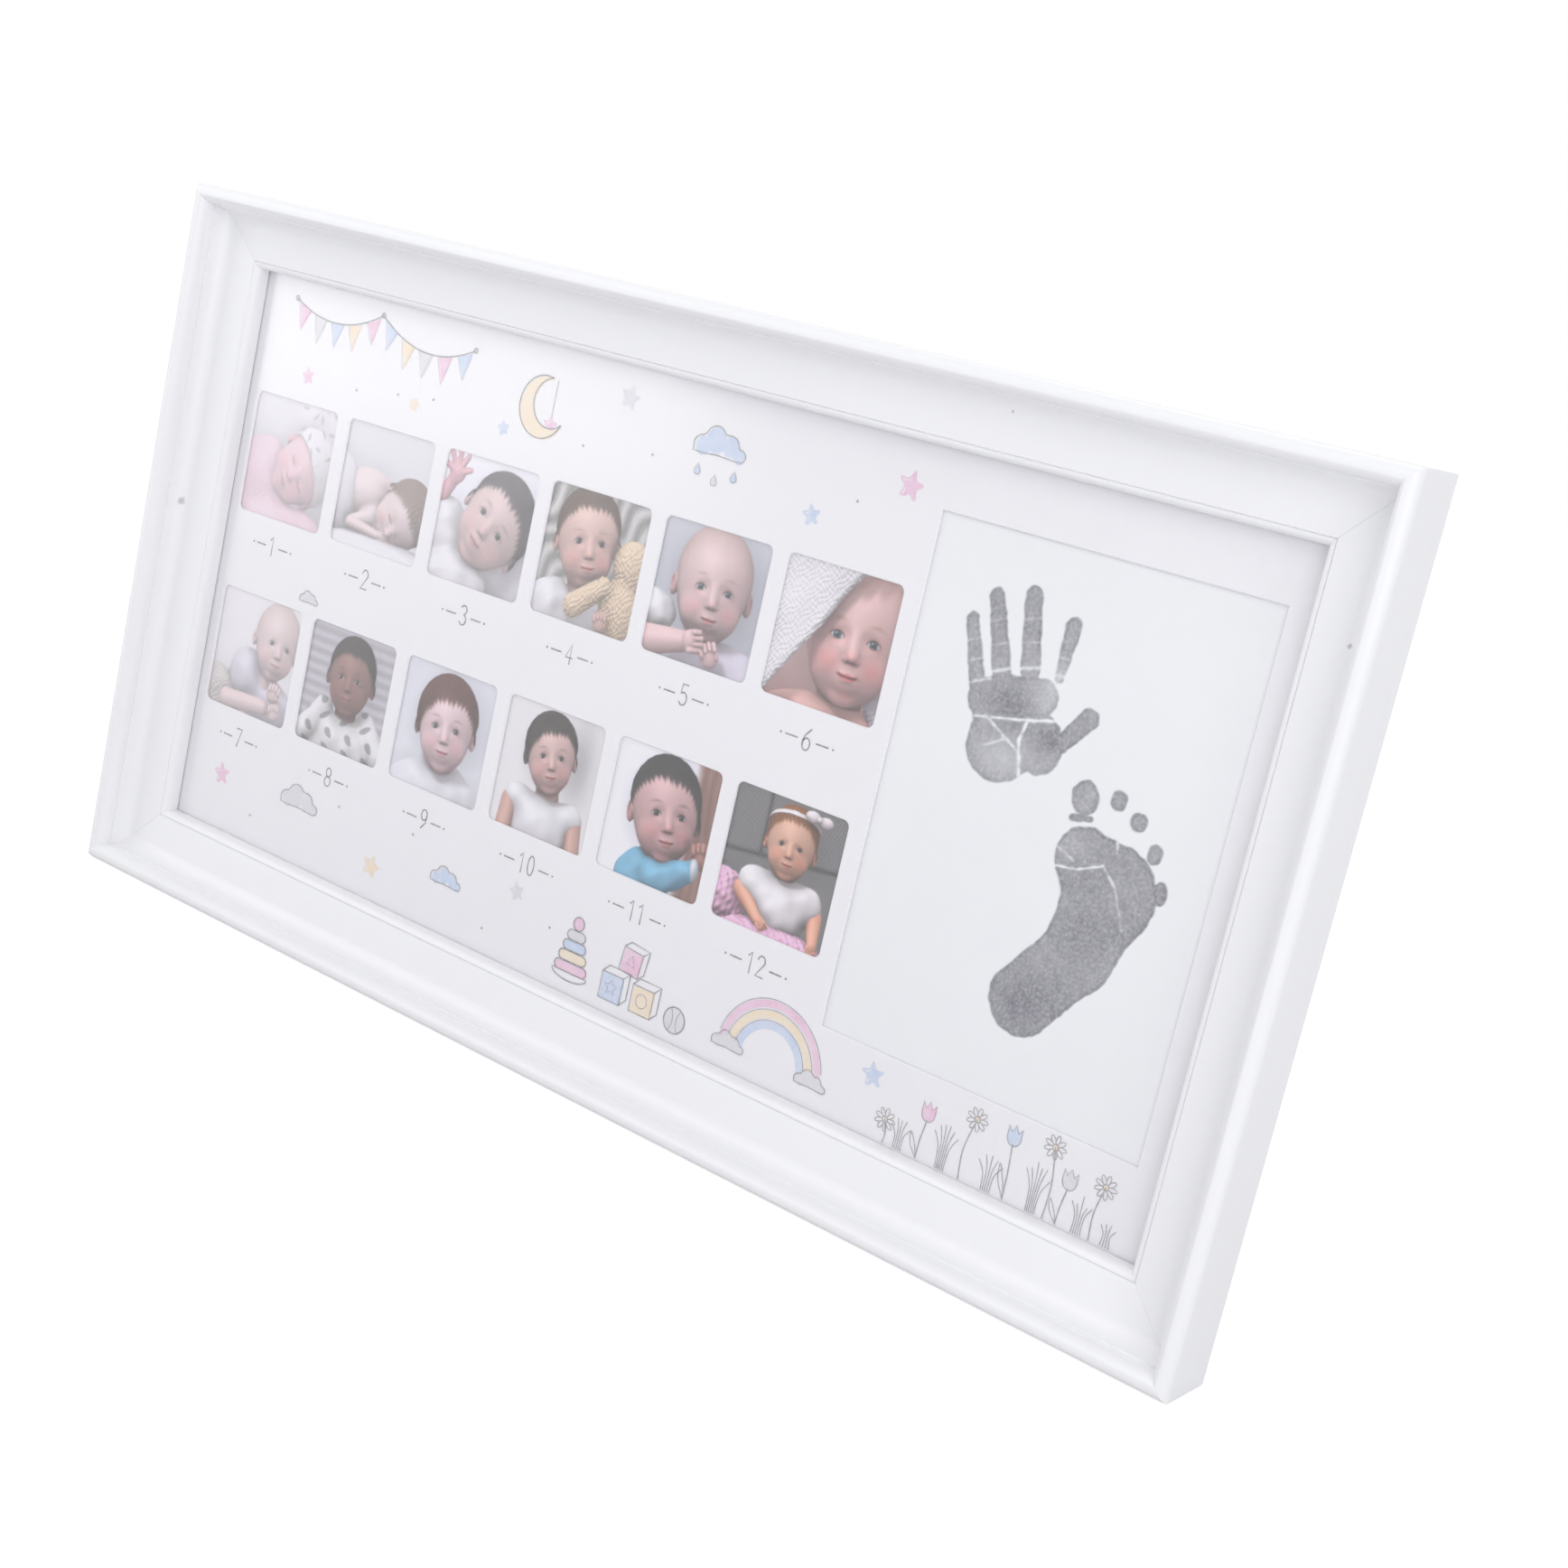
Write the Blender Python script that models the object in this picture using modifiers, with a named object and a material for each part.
# Wide picture frame with a twelve window mount, a card window and a hung back
# Built standing on its bottom rail, with the picture facing -Y
import math

import bmesh
import bpy
from mathutils import Matrix, Vector

for old in list(bpy.data.objects):
    bpy.data.objects.remove(old, do_unlink=True)

# Moulding, across its face and from front to back
FRAME_DEPTH = 0.0285
FACE_W = 0.029
REBATE_W = 0.0055
LIP_T = 0.0021

# Moulding profile, from the outer edge towards the picture
BACK_EDGE_CUT = 0.0005
BEAD_R = 0.0038
BEAD_W = 0.0072
BEAD_DROP = 0.0068
QUIRK_W = 0.0006
QUIRK_STEP = 0.0006
COVE_W = 0.0054
COVE_DROP = 0.0068
FLAT_FALL = 0.0018
SIGHT_BEAD_W = 0.0024
GROOVE_W = 0.0006
GROOVE_DEPTH = 0.0006
PROFILE_STEPS = 8

# Layers held in the rebate, from the front
GLAZING_T = 0.0015
MOUNT_T = 0.0010
PRINT_T = 0.0004
BACKBOARD_T = 0.0025

# Clearances
FIT_GAP = 0.0003
MITRE_GAP = 0.0003
TURN_GAP = 0.0003

# Windows of the mount, and the margins from them to the sight edge of the moulding
WINDOW_COLUMNS = 6
WINDOW_ROWS = 2
WINDOW_W = 0.0505
WINDOW_H = 0.0509
WINDOW_R = 0.0026
WINDOW_LEFT = 0.0053
WINDOW_TOP = 0.0495
WINDOW_BOTTOM = 0.0530
COLUMN_GAP = 0.0073
ROW_GAP = 0.0337
CARD_WINDOW_W = 0.1297
CARD_GAP = 0.0076
CARD_RIGHT = 0.0099
CARD_TOP = 0.0210
CARD_BOTTOM = 0.0306
BOARD_BEVEL = 0.0004
PRINT_LAP = 0.0017
CARD_LAP = 0.0030

# Wedge nails across the mitres
NAIL_LEG = 0.0060
NAIL_T = 0.0006
NAIL_DEPTH = 0.0080
NAIL_SINK = 0.0003
OUTER_NAIL_IN = 0.0092
INNER_NAIL_IN = 0.0195

# Pan head screws of the back
SCREW_R = 0.0015
SCREW_BITE = 0.0090
SCREW_TIP = 0.0030
HEAD_R = 0.0031
HEAD_H = 0.0017
RECESS_LENGTH = 0.0038
RECESS_W = 0.0008
RECESS_DEPTH = 0.0009
ROUND_SIDES = 16

# Turn buttons that hold the backboard
BUTTON_T = 0.0008
BUTTON_REACH = 0.0135
BUTTON_EYE_R = 0.0050
BUTTON_TIP_R = 0.0030
BUTTON_IN = 0.0145
BUTTON_SPREAD = 0.130

# Ring hangers on the two stiles
STRAP_T = 0.0008
STRAP_W = 0.0100
STRAP_LENGTH = 0.0240
STRAP_END_R = 0.0040
STRAP_HOLE_DOWN = 0.0190
RING_WIRE_R = 0.0010
RING_HALF_W = 0.0075
RING_SIDE = 0.0050
RING_CORNER_R = 0.0015
BARREL_TURN = 280.0
HANGER_IN = 0.0120
HANGER_DOWN = 0.0700

# Length that a cutter runs past the face it cuts
CUT_PAST = 0.0010

# Sight opening and outer size, which the mount's windows and margins set
COLUMNS_W = WINDOW_COLUMNS * WINDOW_W + (WINDOW_COLUMNS - 1) * COLUMN_GAP
ROWS_H = WINDOW_ROWS * WINDOW_H + (WINDOW_ROWS - 1) * ROW_GAP
SIGHT_W = WINDOW_LEFT + COLUMNS_W + CARD_GAP + CARD_WINDOW_W + CARD_RIGHT
SIGHT_H = WINDOW_TOP + ROWS_H + WINDOW_BOTTOM
CARD_WINDOW_H = SIGHT_H - CARD_TOP - CARD_BOTTOM
FRAME_W = SIGHT_W + 2.0 * FACE_W
FRAME_H = SIGHT_H + 2.0 * FACE_W

# Levels in depth, from the back of the frame forwards
BARREL_R = RING_WIRE_R + FIT_GAP + STRAP_T
HANGER_DEPTH = FIT_GAP + 2.0 * BARREL_R
BACK_Y = (FRAME_DEPTH - HANGER_DEPTH) / 2.0
BACKBOARD_Y = BACK_Y
PRINT_Y = BACKBOARD_Y - BACKBOARD_T - FIT_GAP
MOUNT_Y = PRINT_Y - PRINT_T - FIT_GAP
GLAZING_Y = MOUNT_Y - MOUNT_T - FIT_GAP
REBATE_DEPTH = BACK_Y - GLAZING_Y + GLAZING_T + FIT_GAP

# Lines across the frame
REBATE_IN = FACE_W - REBATE_W
PANEL_HALF_W = FRAME_W / 2.0 - REBATE_IN - FIT_GAP
PANEL_BOTTOM = REBATE_IN + FIT_GAP
PANEL_TOP = FRAME_H - REBATE_IN - FIT_GAP
SIGHT_LEFT = -SIGHT_W / 2.0
SIGHT_TOP = FACE_W + SIGHT_H

model = bpy.data.collections.new("milestone_photo_frame")
cutters = bpy.data.collections.new("cutters")
bpy.context.scene.collection.children.link(model)
bpy.context.scene.collection.children.link(cutters)

FACE_FRONT = Matrix.Rotation(math.radians(90.0), 4, "X")
FACE_BACK = Matrix.Rotation(math.radians(-90.0), 4, "X")


def make_material(name, colour, roughness, metallic, alpha=1.0):
    made = bpy.data.materials.new(name)
    made.use_nodes = True
    shader = made.node_tree.nodes["Principled BSDF"]
    shader.inputs["Base Color"].default_value = (*colour, 1.0)
    shader.inputs["Roughness"].default_value = roughness
    shader.inputs["Metallic"].default_value = metallic
    shader.inputs["Alpha"].default_value = alpha
    made.diffuse_color = (*colour, alpha)
    return made


WHITE_LACQUER = make_material("white_lacquer", (0.87, 0.87, 0.89), 0.42, 0.0)
CLEAR_SHEET = make_material("clear_sheet", (0.95, 0.96, 0.97), 0.05, 0.0, 0.25)
MOUNT_BOARD = make_material("mount_board", (0.80, 0.79, 0.82), 0.80, 0.0)
PHOTO_PAPER = make_material("photo_paper", (0.62, 0.52, 0.48), 0.35, 0.0)
CARD_STOCK = make_material("card_stock", (0.82, 0.83, 0.86), 0.75, 0.0)
HARDBOARD = make_material("hardboard", (0.30, 0.19, 0.11), 0.70, 0.0)
ZINC_STEEL = make_material("zinc_steel", (0.62, 0.63, 0.65), 0.35, 1.0)


def to_mesh(source, name):
    """Evaluated mesh of an object, welded, with the object itself removed."""
    graph = bpy.context.evaluated_depsgraph_get()
    mesh = bpy.data.meshes.new_from_object(source.evaluated_get(graph))
    mesh.name = name
    work = bmesh.new()
    work.from_mesh(mesh)
    bmesh.ops.remove_doubles(work, verts=work.verts, dist=0.00001)
    work.to_mesh(mesh)
    work.free()
    bpy.data.objects.remove(source, do_unlink=True)
    return mesh


def outline_solid(name, loops, thickness):
    """Flat outline with optional holes, from z = 0 up to its thickness."""
    curve = bpy.data.curves.new(name, "CURVE")
    curve.dimensions = "2D"
    curve.fill_mode = "BOTH"
    curve.extrude = thickness / 2.0
    for loop in loops:
        spline = curve.splines.new("POLY")
        spline.points.add(len(loop) - 1)
        for point, (x, y) in zip(spline.points, loop):
            point.co = (x, y, 0.0, 1.0)
        spline.use_cyclic_u = True
    source = bpy.data.objects.new(name, curve)
    bpy.context.scene.collection.objects.link(source)
    mesh = to_mesh(source, name)
    mesh.transform(Matrix.Translation((0.0, 0.0, thickness / 2.0)))
    return mesh


def turned_solid(name, profile):
    """Solid of revolution about Z from a profile that starts and ends on the axis."""
    mesh = bpy.data.meshes.new(name)
    points = [(radius, 0.0, height) for radius, height in profile]
    edges = [(i, i + 1) for i in range(len(points) - 1)]
    mesh.from_pydata(points, edges, [])
    source = bpy.data.objects.new(name, mesh)
    bpy.context.scene.collection.objects.link(source)
    screw = source.modifiers.new("turn", "SCREW")
    screw.axis = "Z"
    screw.steps = ROUND_SIDES
    screw.render_steps = ROUND_SIDES
    screw.use_merge_vertices = True
    screw.merge_threshold = 0.00001
    return source


def wire_ring(name, points, wire_r):
    """Closed wire along a flat loop of points."""
    curve = bpy.data.curves.new(name, "CURVE")
    curve.dimensions = "3D"
    curve.bevel_depth = wire_r
    curve.bevel_resolution = 2
    spline = curve.splines.new("POLY")
    spline.points.add(len(points) - 1)
    for point, (x, y) in zip(spline.points, points):
        point.co = (x, y, 0.0, 1.0)
    spline.use_cyclic_u = True
    source = bpy.data.objects.new(name, curve)
    bpy.context.scene.collection.objects.link(source)
    return to_mesh(source, name)


def place(name, mesh, look, matrix, smooth_angle=30.0):
    """Named part of the model, seated by a matrix."""
    part = bpy.data.objects.new(name, mesh)
    if not mesh.materials:
        mesh.materials.append(look)
    mesh.shade_smooth()
    mesh.set_sharp_from_angle(angle=math.radians(smooth_angle))
    model.objects.link(part)
    part.matrix_world = matrix
    return part


def cutter(name, mesh, matrix):
    tool = bpy.data.objects.new(name, mesh)
    tool.hide_render = True
    tool.display_type = "WIRE"
    cutters.objects.link(tool)
    tool.matrix_world = matrix
    return tool


def box_cutter(name, size, matrix):
    mesh = bpy.data.meshes.new(name)
    work = bmesh.new()
    bmesh.ops.create_cube(work, size=1.0, matrix=Matrix.Diagonal((*size, 1.0)))
    work.to_mesh(mesh)
    work.free()
    return cutter(name, mesh, matrix)


def round_cutter(name, radius, depth, matrix):
    """Round hole from just above z = 0 down to its depth."""
    mesh = bpy.data.meshes.new(name)
    work = bmesh.new()
    lift = Matrix.Translation((0.0, 0.0, (CUT_PAST - depth) / 2.0))
    bmesh.ops.create_cone(work, cap_ends=True, segments=ROUND_SIDES, radius1=radius,
                          radius2=radius, depth=depth + CUT_PAST, matrix=lift)
    work.to_mesh(mesh)
    work.free()
    return cutter(name, mesh, matrix)


def cut(part, tool):
    step = part.modifiers.new("cut_" + tool.name, "BOOLEAN")
    step.operation = "DIFFERENCE"
    step.solver = "EXACT"
    step.object = tool


def arc(centre_x, centre_y, radius_x, radius_y, start, end, steps):
    """Points along an ellipse's arc, angles in degrees."""
    points = []
    for i in range(steps + 1):
        turn = math.radians(start + (end - start) * i / steps)
        points.append((centre_x + radius_x * math.cos(turn), centre_y + radius_y * math.sin(turn)))
    return points


def rectangle(left, bottom, width, height):
    right = left + width
    top = bottom + height
    return [(left, bottom), (right, bottom), (right, top), (left, top)]


def round_rectangle(left, bottom, width, height, radius, steps=4):
    right = left + width
    top = bottom + height
    loop = arc(right - radius, bottom + radius, radius, radius, -90.0, 0.0, steps)
    loop += arc(right - radius, top - radius, radius, radius, 0.0, 90.0, steps)
    loop += arc(left + radius, top - radius, radius, radius, 90.0, 180.0, steps)
    loop += arc(left + radius, bottom + radius, radius, radius, 180.0, 270.0, steps)
    return loop


def moulding_profile():
    """Section of the moulding: distance from the outer edge, height above the back."""
    crest = FRAME_DEPTH
    quirk_h = crest - BEAD_DROP
    cove_in = BEAD_W + QUIRK_W
    cove_h = quirk_h - QUIRK_STEP
    cove_end = cove_in + COVE_W
    flat_h = cove_h - COVE_DROP
    sight_in = FACE_W - SIGHT_BEAD_W
    groove_h = flat_h - FLAT_FALL
    lip_h = REBATE_DEPTH + LIP_T
    section = [(BACK_EDGE_CUT, 0.0), (0.0, BACK_EDGE_CUT)]
    section += arc(BEAD_R, crest - BEAD_R, BEAD_R, BEAD_R, 180.0, 90.0, PROFILE_STEPS)
    section += arc(BEAD_R, quirk_h, BEAD_W - BEAD_R, BEAD_DROP, 90.0, 0.0, PROFILE_STEPS)[1:]
    section.append((cove_in, quirk_h))
    section += arc(cove_end, cove_h, COVE_W, COVE_DROP, 180.0, 270.0, PROFILE_STEPS)
    section.append((sight_in - GROOVE_W, groove_h))
    section.append((sight_in - GROOVE_W / 2.0, groove_h - GROOVE_DEPTH))
    section += arc(sight_in, lip_h, SIGHT_BEAD_W, groove_h - lip_h, 90.0, 0.0, PROFILE_STEPS // 2)
    section += [(FACE_W, REBATE_DEPTH), (REBATE_IN, REBATE_DEPTH), (REBATE_IN, 0.0)]
    return section


# Rails of the frame, each a length of moulding with mitred ends
# In a rail's own frame x runs in from the outer edge, y to the front and z along the rail
RAIL_AXES = Matrix(((0.0, 0.0, 1.0, 0.0), (0.0, -1.0, 0.0, 0.0), (1.0, 0.0, 0.0, 0.0),
                    (0.0, 0.0, 0.0, 1.0)))
CORNER_SIZE = 4.0 * max(FACE_W, FRAME_DEPTH)


def rail_matrix(x, z, turn):
    spin = Matrix.Rotation(math.radians(turn), 4, "Y")
    return Matrix.Translation((x, BACK_Y, z)) @ spin @ RAIL_AXES


def make_rail(name, length, matrix):
    mesh = outline_solid(name, [moulding_profile()], length)
    mesh.transform(Matrix.Translation((0.0, 0.0, -length / 2.0)))
    rail = place(name, mesh, WHITE_LACQUER, matrix)
    for end, side in (("a", 1.0), ("b", -1.0)):
        slope = Matrix.Rotation(math.radians(45.0 * side), 4, "Y")
        normal = Vector((1.0, 0.0, side)).normalized()
        middle = Vector((FACE_W / 2.0, FRAME_DEPTH / 2.0, side * (length - FACE_W) / 2.0))
        centre = middle + normal * (CORNER_SIZE - MITRE_GAP) / 2.0
        local = Matrix.Translation(centre) @ slope
        size = (CORNER_SIZE, CORNER_SIZE, CORNER_SIZE)
        cut(rail, box_cutter("mitre_" + name + "_" + end, size, matrix @ local))
    return rail


bottom_rail = make_rail("bottom_rail", FRAME_W, rail_matrix(0.0, 0.0, 0.0))
top_rail = make_rail("top_rail", FRAME_W, rail_matrix(0.0, FRAME_H, 180.0))
left_stile = make_rail("left_stile", FRAME_H, rail_matrix(-FRAME_W / 2.0, FRAME_H / 2.0, 90.0))
right_stile = make_rail("right_stile", FRAME_H, rail_matrix(FRAME_W / 2.0, FRAME_H / 2.0, -90.0))

# Wedge nails: bent strips driven in from the back, one leg in each rail
HALF_W = FRAME_W / 2.0
CORNERS = (("bottom_left", -HALF_W, 0.0, left_stile, bottom_rail),
           ("bottom_right", HALF_W, 0.0, right_stile, bottom_rail),
           ("top_right", HALF_W, FRAME_H, right_stile, top_rail),
           ("top_left", -HALF_W, FRAME_H, left_stile, top_rail))


def nail_outline(bend, grow):
    """Bent strip seen from the front, in a corner with its sides along +x and +y."""
    far = bend + NAIL_T / 2.0 + grow
    near = bend - NAIL_T / 2.0 - grow
    end = bend - NAIL_LEG - grow
    return [(far, far), (end, far), (end, near), (near, near), (near, end), (far, end)]


def corner_outline(loop, corner_x, corner_z):
    """Outline laid inwards from one outer corner of the frame."""
    along = math.copysign(1.0, -corner_x)
    up = math.copysign(1.0, FRAME_H / 2.0 - corner_z)
    return [(corner_x + along * x, corner_z + up * z) for x, z in loop]


for corner, corner_x, corner_z, stile, rail in CORNERS:
    for row, bend in (("outer", OUTER_NAIL_IN), ("inner", INNER_NAIL_IN)):
        name = "wedge_nail_" + corner + "_" + row
        loop = corner_outline(nail_outline(bend, 0.0), corner_x, corner_z)
        nail_y = BACK_Y - NAIL_SINK
        seat = Matrix.Translation((0.0, nail_y, 0.0)) @ FACE_FRONT
        place(name, outline_solid(name, [loop], NAIL_DEPTH), ZINC_STEEL, seat)
        slot = corner_outline(nail_outline(bend, FIT_GAP), corner_x, corner_z)
        slot_depth = NAIL_SINK + NAIL_DEPTH + FIT_GAP
        slot_mesh = outline_solid("slot_" + name, [slot], slot_depth + CUT_PAST)
        slot_seat = Matrix.Translation((0.0, BACK_Y + CUT_PAST, 0.0)) @ FACE_FRONT
        tool = cutter("slot_" + name, slot_mesh, slot_seat)
        cut(stile, tool)
        cut(rail, tool)


# Flat layers in the rebate
def flat_layer(name, loops, thickness, back_y, look):
    seat = Matrix.Translation((0.0, back_y, 0.0)) @ FACE_FRONT
    return place(name, outline_solid(name, loops, thickness), look, seat)


def panel_outline():
    return rectangle(-PANEL_HALF_W, PANEL_BOTTOM, 2.0 * PANEL_HALF_W, PANEL_TOP - PANEL_BOTTOM)


flat_layer("glazing_sheet", [panel_outline()], GLAZING_T, GLAZING_Y, CLEAR_SHEET)
flat_layer("backboard", [panel_outline()], BACKBOARD_T, BACKBOARD_Y, HARDBOARD)

# Mount board with its windows, and what shows through them
windows = []
for row in range(WINDOW_ROWS):
    for column in range(WINDOW_COLUMNS):
        left = SIGHT_LEFT + WINDOW_LEFT + column * (WINDOW_W + COLUMN_GAP)
        bottom = SIGHT_TOP - WINDOW_TOP - WINDOW_H - row * (WINDOW_H + ROW_GAP)
        windows.append((left, bottom))
card_left = windows[-1][0] + WINDOW_W + CARD_GAP
card_bottom = SIGHT_TOP - CARD_TOP - CARD_WINDOW_H

board_loops = [panel_outline()]
for left, bottom in windows:
    board_loops.append(round_rectangle(left, bottom, WINDOW_W, WINDOW_H, WINDOW_R))
board_loops.append(rectangle(card_left, card_bottom, CARD_WINDOW_W, CARD_WINDOW_H))
board = outline_solid("mount_board", board_loops, MOUNT_T)

# Cut edges of the windows, sloped to the front
work = bmesh.new()
work.from_mesh(board)
outer_x = PANEL_HALF_W - FIT_GAP
rims = []
for edge in work.edges:
    on_front = all(abs(v.co.z - MOUNT_T) < 0.00001 for v in edge.verts)
    inside = all(abs(v.co.x) < outer_x for v in edge.verts)
    faces = [abs(face.normal.z) for face in edge.link_faces]
    if on_front and inside and len(faces) == 2 and min(faces) < 0.5:
        if PANEL_BOTTOM + FIT_GAP < edge.verts[0].co.y < PANEL_TOP - FIT_GAP:
            rims.append(edge)
bmesh.ops.bevel(work, geom=rims, offset=BOARD_BEVEL, segments=1, affect="EDGES")
work.to_mesh(board)
work.free()
place("mount_board", board, MOUNT_BOARD, Matrix.Translation((0.0, MOUNT_Y, 0.0)) @ FACE_FRONT)

for number, (left, bottom) in enumerate(windows, start=1):
    width = WINDOW_W + 2.0 * PRINT_LAP
    height = WINDOW_H + 2.0 * PRINT_LAP
    loop = rectangle(left - PRINT_LAP, bottom - PRINT_LAP, width, height)
    flat_layer("photo_print_%02d" % number, [loop], PRINT_T, PRINT_Y, PHOTO_PAPER)

card_loop = rectangle(card_left - CARD_LAP, card_bottom - CARD_LAP,
                      CARD_WINDOW_W + 2.0 * CARD_LAP, CARD_WINDOW_H + 2.0 * CARD_LAP)
flat_layer("keepsake_card", [card_loop], PRINT_T, PRINT_Y, CARD_STOCK)


# Pan head screw, turned about its axis, with a cross recess
def screw_mesh(name, plate_t):
    under = FIT_GAP + plate_t + FIT_GAP
    top = under + HEAD_H
    profile = [(0.0, top)]
    profile += [(HEAD_R * 0.55, top - HEAD_H * 0.06)]
    profile += [(HEAD_R * 0.85, top - HEAD_H * 0.30)]
    profile += [(HEAD_R, top - HEAD_H * 0.65), (HEAD_R, under), (SCREW_R, under)]
    profile += [(SCREW_R, SCREW_TIP - SCREW_BITE), (0.0, -SCREW_BITE)]
    blank = turned_solid(name, profile)
    arms = []
    for turn in (0.0, 90.0):
        size = (RECESS_LENGTH, RECESS_W, 2.0 * RECESS_DEPTH)
        spin = Matrix.Rotation(math.radians(turn), 4, "Z")
        arm = box_cutter("recess_" + name, size, Matrix.Translation((0.0, 0.0, top)) @ spin)
        cut(blank, arm)
        arms.append(arm)
    mesh = to_mesh(blank, name)
    for arm in arms:
        bpy.data.objects.remove(arm, do_unlink=True)
    return mesh


button_screw = screw_mesh("button_screw", BUTTON_T)
hanger_screw = screw_mesh("hanger_screw", STRAP_T)


def drive_screw(name, mesh, x, z, rail):
    """Screw in the back of a rail, in its own pilot hole."""
    seat = Matrix.Translation((x, BACK_Y, z)) @ FACE_BACK
    place(name, mesh, ZINC_STEEL, seat)
    cut(rail, round_cutter("pilot_" + name, SCREW_R + FIT_GAP, SCREW_BITE + FIT_GAP, seat))


# Turn buttons: flat plates that swing over the backboard
def button_outline():
    """Hull of the eye's circle and the tip's smaller circle."""
    tip_x = BUTTON_REACH - BUTTON_TIP_R
    lean = math.degrees(math.acos((BUTTON_EYE_R - BUTTON_TIP_R) / tip_x))
    loop = arc(tip_x, 0.0, BUTTON_TIP_R, BUTTON_TIP_R, -lean, lean, ROUND_SIDES // 2)
    loop += arc(0.0, 0.0, BUTTON_EYE_R, BUTTON_EYE_R, lean, 360.0 - lean, ROUND_SIDES)
    return loop


eye = arc(0.0, 0.0, SCREW_R + TURN_GAP, SCREW_R + TURN_GAP, 0.0, 360.0, ROUND_SIDES)[:-1]
button_mesh = outline_solid("turn_button", [button_outline(), eye], BUTTON_T)
side_in = FRAME_W / 2.0 - BUTTON_IN
BUTTONS = (("top_left", -BUTTON_SPREAD, FRAME_H - BUTTON_IN, 90.0, top_rail),
           ("top_right", BUTTON_SPREAD, FRAME_H - BUTTON_IN, 90.0, top_rail),
           ("bottom_left", -BUTTON_SPREAD, BUTTON_IN, -90.0, bottom_rail),
           ("bottom_right", BUTTON_SPREAD, BUTTON_IN, -90.0, bottom_rail),
           ("left", -side_in, FRAME_H / 2.0, 0.0, left_stile),
           ("right", side_in, FRAME_H / 2.0, 180.0, right_stile))
for spot, x, z, turn, rail in BUTTONS:
    spin = Matrix.Rotation(math.radians(turn), 4, "Y")
    seat = Matrix.Translation((x, BACK_Y + FIT_GAP, z)) @ spin @ FACE_BACK
    place("turn_button_" + spot, button_mesh, ZINC_STEEL, seat)
    drive_screw("button_screw_" + spot, button_screw, x, z, rail)


# Ring hangers: a strap rolled round the straight side of a wire ring
def strap_section():
    """Strap seen from the side, x up the stile and y off its back, about the roll's axis."""
    inner_r = BARREL_R - STRAP_T
    end = -90.0 + BARREL_TURN
    section = [(-STRAP_LENGTH, -BARREL_R)]
    section += arc(0.0, 0.0, BARREL_R, BARREL_R, -90.0, end, 20)
    section += arc(0.0, 0.0, inner_r, inner_r, end, -90.0, 20)
    section.append((-STRAP_LENGTH, -inner_r))
    return section


def ring_loop():
    """Straight side on the axis, then two sides and a half circle below it."""
    bar = RING_HALF_W - RING_CORNER_R
    loop = arc(-bar, -RING_CORNER_R, RING_CORNER_R, RING_CORNER_R, 180.0, 90.0, 3)
    loop += arc(bar, -RING_CORNER_R, RING_CORNER_R, RING_CORNER_R, 90.0, 0.0, 3)
    loop += arc(0.0, -RING_SIDE, RING_HALF_W, RING_HALF_W, 0.0, -180.0, 12)
    return loop


STRAP_AXES = Matrix(((0.0, 0.0, -1.0, 0.0), (0.0, 1.0, 0.0, 0.0), (1.0, 0.0, 0.0, 0.0),
                     (0.0, 0.0, 0.0, 1.0)))
strap_mesh = outline_solid("hanger_strap", [strap_section()], STRAP_W)
strap_mesh.transform(Matrix.Translation((0.0, 0.0, -STRAP_W / 2.0)))
work = bmesh.new()
work.from_mesh(strap_mesh)
ends = [edge for edge in work.edges
        if all(abs(v.co.x + STRAP_LENGTH) < 0.00001 for v in edge.verts)
        and abs(edge.verts[0].co.z - edge.verts[1].co.z) < 0.00001]
bmesh.ops.bevel(work, geom=ends, offset=STRAP_END_R, segments=4, profile=0.5, affect="EDGES")
work.to_mesh(strap_mesh)
work.free()
ring_mesh = wire_ring("hanger_ring", ring_loop(), RING_WIRE_R)
hanger_x = FRAME_W / 2.0 - HANGER_IN
hanger_y = BACK_Y + FIT_GAP + BARREL_R
hanger_z = FRAME_H - HANGER_DOWN
for spot, x, stile in (("left", -hanger_x, left_stile), ("right", hanger_x, right_stile)):
    axis = Matrix.Translation((x, hanger_y, hanger_z))
    strap = place("hanger_strap_" + spot, strap_mesh.copy(), ZINC_STEEL, axis @ STRAP_AXES)
    hole_z = hanger_z - STRAP_HOLE_DOWN
    hole_seat = Matrix.Translation((x, BACK_Y + FIT_GAP + STRAP_T, hole_z)) @ FACE_BACK
    cut(strap, round_cutter("strap_hole_" + spot, SCREW_R + FIT_GAP, 2.0 * STRAP_T, hole_seat))
    drive_screw("hanger_screw_" + spot, hanger_screw, x, hole_z, stile)
    place("hanger_ring_" + spot, ring_mesh, ZINC_STEEL, axis @ FACE_FRONT)
